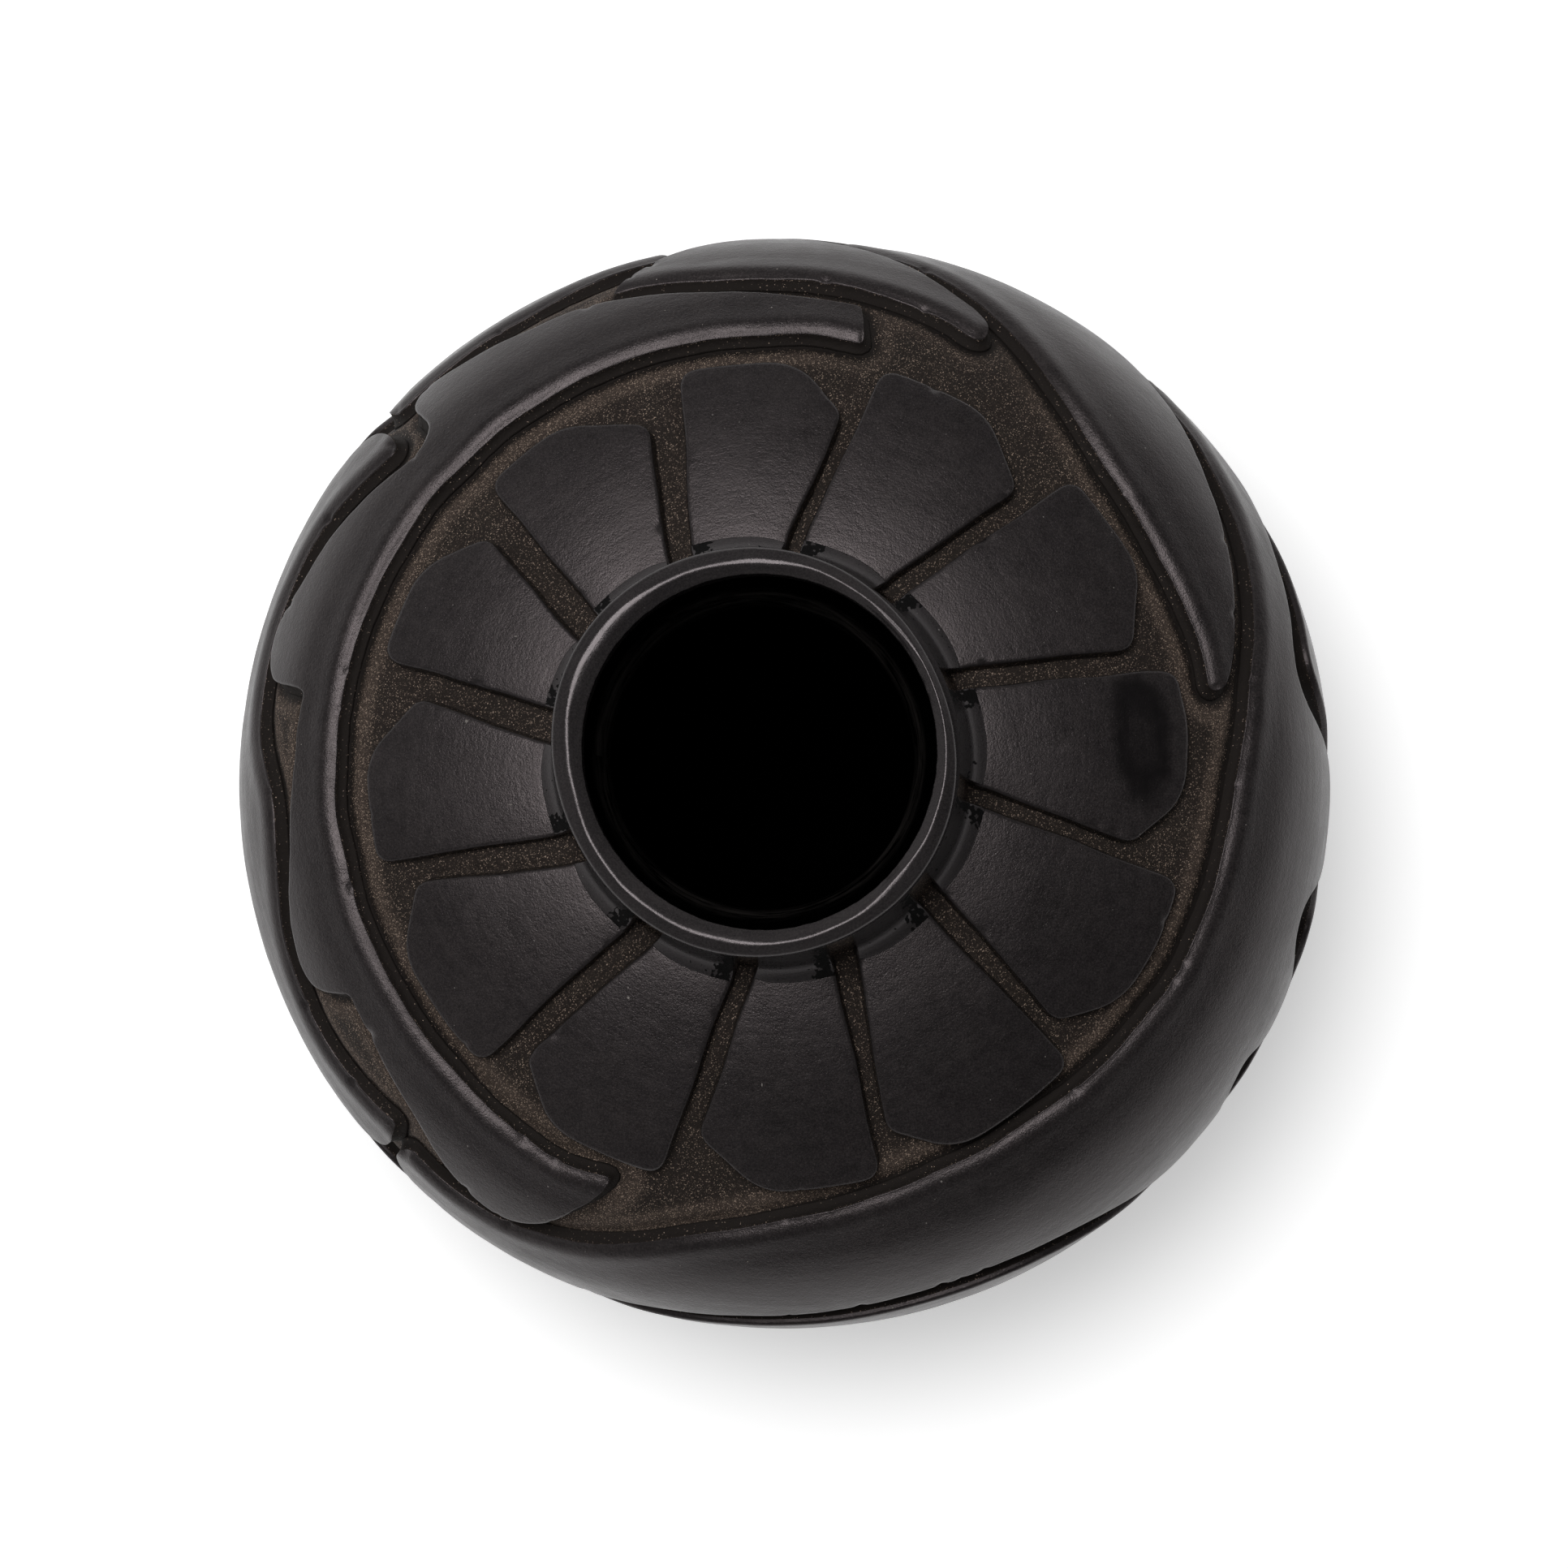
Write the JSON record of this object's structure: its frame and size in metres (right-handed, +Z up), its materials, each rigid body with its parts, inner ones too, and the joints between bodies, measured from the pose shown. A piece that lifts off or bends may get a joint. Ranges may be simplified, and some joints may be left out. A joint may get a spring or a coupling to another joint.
{
  "type": "carved black clay pot",
  "caption": "Squat hand-built black clay pot with a rolled lip, a ring of raised feather panels round the neck and sweeping burnished bands over a gritty carved background.",
  "frame": {"origin": "middle of the flat foot, on the surface that the pot rests on", "axes": "+Z up through the mouth; +X towards the fourth feather panel, +Y towards the first"},
  "size_m": [0.16, 0.16, 0.107],
  "materials": {
    "burnished_clay": "stone-burnished satin",
    "carved_ground": "matte, gritty, with mica specks",
    "polished_neck": "high burnish, turned streaks"
  },
  "bodies": {
    "root": {"base_pat": "burnished_clay", "lower_wall": "carved_ground", "lower_belly_wall": "carved_ground", "belly_wall": "carved_ground", "shoulder_wall": "carved_ground", "neck_collar": "polished_neck", "rim_lip": "polished_neck", "feather_panel_01": "burnished_clay", "feather_panel_02": "burnished_clay", "feather_panel_03": "burnished_clay", "feather_panel_04": "burnished_clay", "feather_panel_05": "burnished_clay", "feather_panel_06": "burnished_clay", "feather_panel_07": "burnished_clay", "feather_panel_08": "burnished_clay", "feather_panel_09": "burnished_clay", "feather_panel_10": "burnished_clay", "feather_panel_11": "burnished_clay", "feather_panel_12": "burnished_clay", "crest_band": "burnished_clay", "leaf_band": "burnished_clay", "side_band": "burnished_clay", "finger_band": "burnished_clay", "crescent_band": "burnished_clay", "wave_band": "burnished_clay", "lower_skirt": "burnished_clay"}
  },
  "joints": []
}
